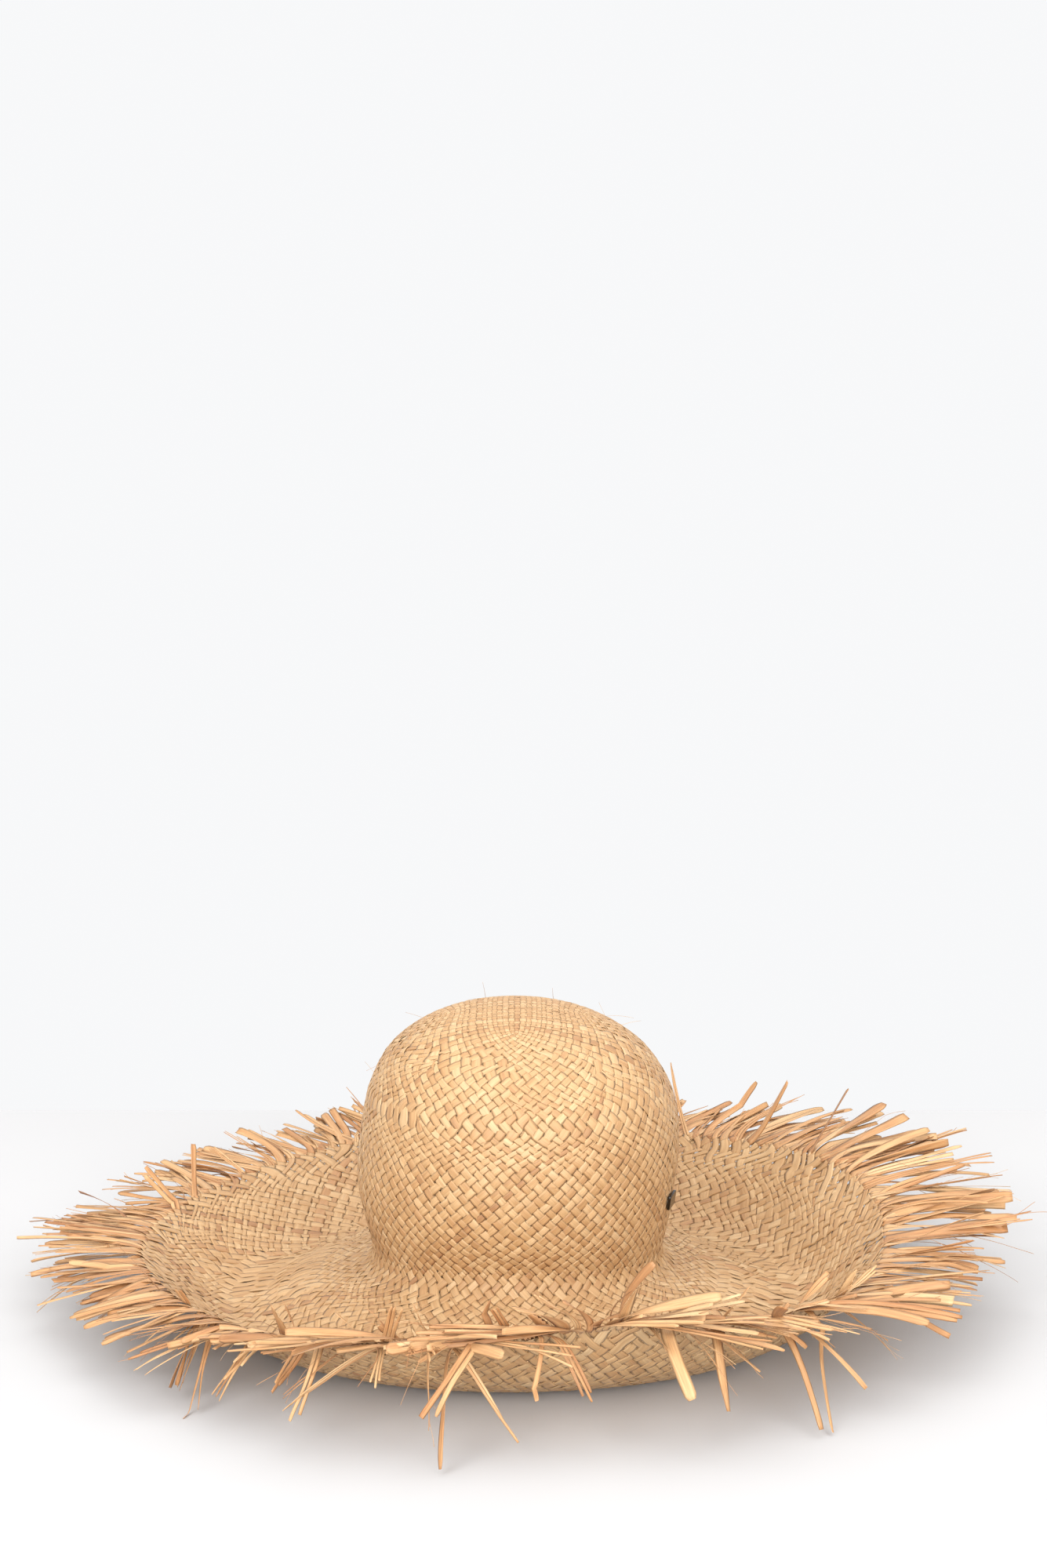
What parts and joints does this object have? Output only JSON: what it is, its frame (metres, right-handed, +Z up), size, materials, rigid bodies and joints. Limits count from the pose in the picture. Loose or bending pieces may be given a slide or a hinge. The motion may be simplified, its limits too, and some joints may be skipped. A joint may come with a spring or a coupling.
{
  "type": "straw sun hat",
  "caption": "Wide-brimmed woven straw sun hat with a domed crown, a curled brim with a long frayed fringe, an inner sweatband and a small metal badge.",
  "frame": {"origin": "on the table under the middle of the hat's outline, fringe included", "axes": "+Z up out of the crown, +Y to the back of the hat, +X to the side with the metal badge"},
  "size_m": [0.61, 0.54, 0.183],
  "materials": {
    "straw": "woven raffia, satin",
    "fringe": "loose raffia, satin",
    "ribbon": "ribbed grosgrain, matt",
    "thread": "cotton thread, matt",
    "label": "woven tape, matt",
    "badge": "dark plated, polished",
    "prong": "satin"
  },
  "bodies": {
    "root": {"woven_crown": "straw", "woven_brim": "straw", "fringe_tuft_01": "fringe", "fringe_tuft_02": "fringe", "fringe_tuft_03": "fringe", "fringe_tuft_04": "fringe", "fringe_tuft_05": "fringe", "fringe_tuft_06": "fringe", "fringe_tuft_07": "fringe", "fringe_tuft_08": "fringe", "fringe_tuft_09": "fringe", "fringe_tuft_10": "fringe", "fringe_tuft_11": "fringe", "fringe_tuft_12": "fringe", "fringe_tuft_13": "fringe", "fringe_tuft_14": "fringe", "fringe_tuft_15": "fringe", "fringe_tuft_16": "fringe", "fringe_tuft_17": "fringe", "fringe_tuft_18": "fringe", "fringe_tuft_19": "fringe", "fringe_tuft_20": "fringe", "fringe_tuft_21": "fringe", "fringe_tuft_22": "fringe", "fringe_tuft_23": "fringe", "fringe_tuft_24": "fringe", "sweatband": "ribbon", "sweatband_stitching": "thread", "sweatband_lap": "ribbon", "size_label": "label", "badge_plate": "badge", "badge_prong_back": "prong", "badge_prong_front": "prong", "badge_washer": "prong"}
  },
  "joints": []
}
